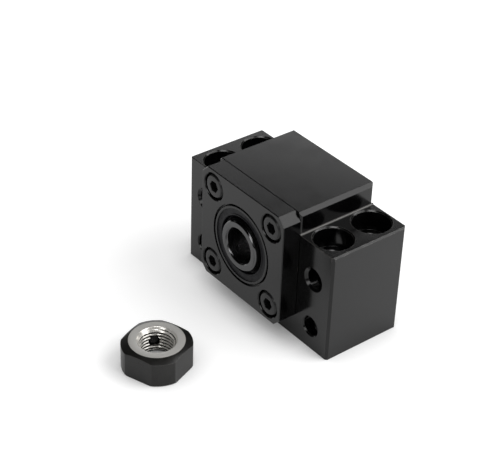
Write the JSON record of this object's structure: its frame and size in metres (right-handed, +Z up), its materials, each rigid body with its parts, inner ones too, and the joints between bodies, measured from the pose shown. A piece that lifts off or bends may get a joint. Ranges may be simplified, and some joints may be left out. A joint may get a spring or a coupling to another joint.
{
  "type": "ball screw end support",
  "caption": "Block-type fixed-end support for a ball screw, with a bolted cover, sealed angular contact bearings, shaft collars and a loose lock nut.",
  "frame": {"origin": "centre of the base face, under the shaft axis and at the block's mid length", "axes": "+Z up from the base face, +Y along the shaft axis from the cover to the rear face, +X to the right seen from the cover"},
  "size_m": [0.06, 0.0704, 0.039],
  "materials": {
    "blackened_steel": "black oxide, satin, fine milling marks",
    "blackened_screw_steel": "black oxide, smooth forged heads",
    "collar_steel": "black oxide over a fine ground face",
    "seal_rubber": "moulded nitrile rubber, satin",
    "bearing_steel": "ground and honed",
    "ball_steel": "polished",
    "cage_resin": "moulded polyamide",
    "nut_steel": "black oxide sides, ground end face, cut thread",
    "set_screw_steel": "black oxide",
    "set_piece_steel": "black oxide, turned"
  },
  "bodies": {
    "housing": {"housing": "blackened_steel", "cover_plate": "blackened_steel", "cover_screws": "blackened_screw_steel", "front_seal": "seal_rubber", "rear_seal": "seal_rubber", "lock_nut": "nut_steel", "lock_nut_set_screw": "set_screw_steel", "lock_nut_set_piece": "set_piece_steel", "front_bearing_outer_ring": "bearing_steel", "rear_bearing_outer_ring": "bearing_steel"},
    "sleeve": {"front_collar": "collar_steel", "front_bearing_inner_ring": "bearing_steel", "rear_bearing_inner_ring": "bearing_steel", "rear_collar": "collar_steel"},
    "front_ball_set": {"front_bearing_cage": "cage_resin", "front_ball_1": "ball_steel", "front_ball_2": "ball_steel", "front_ball_3": "ball_steel", "front_ball_4": "ball_steel", "front_ball_5": "ball_steel", "front_ball_6": "ball_steel", "front_ball_7": "ball_steel", "front_ball_8": "ball_steel", "front_ball_9": "ball_steel"},
    "rear_ball_set": {"rear_bearing_cage": "cage_resin", "rear_ball_1": "ball_steel", "rear_ball_2": "ball_steel", "rear_ball_3": "ball_steel", "rear_ball_4": "ball_steel", "rear_ball_5": "ball_steel", "rear_ball_6": "ball_steel", "rear_ball_7": "ball_steel", "rear_ball_8": "ball_steel", "rear_ball_9": "ball_steel"}
  },
  "joints": [
    {"name": "sleeve_spin", "type": "hinge", "parent": "housing", "child": "sleeve", "pos_m": [0, 0, 0.022], "axis": [0, 1, 0], "continuous": true},
    {"name": "front_ball_set_spin", "type": "hinge", "parent": "housing", "child": "front_ball_set", "pos_m": [0, -0.0055, 0.022], "axis": [0, 1, 0], "continuous": true},
    {"name": "rear_ball_set_spin", "type": "hinge", "parent": "housing", "child": "rear_ball_set", "pos_m": [0, 0.0025, 0.022], "axis": [0, 1, 0], "continuous": true}
  ],
  "couplings": [
    {"joint": "front_ball_set_spin", "follows": "sleeve_spin", "ratio": 0.3854},
    {"joint": "rear_ball_set_spin", "follows": "sleeve_spin", "ratio": 0.3854}
  ]
}
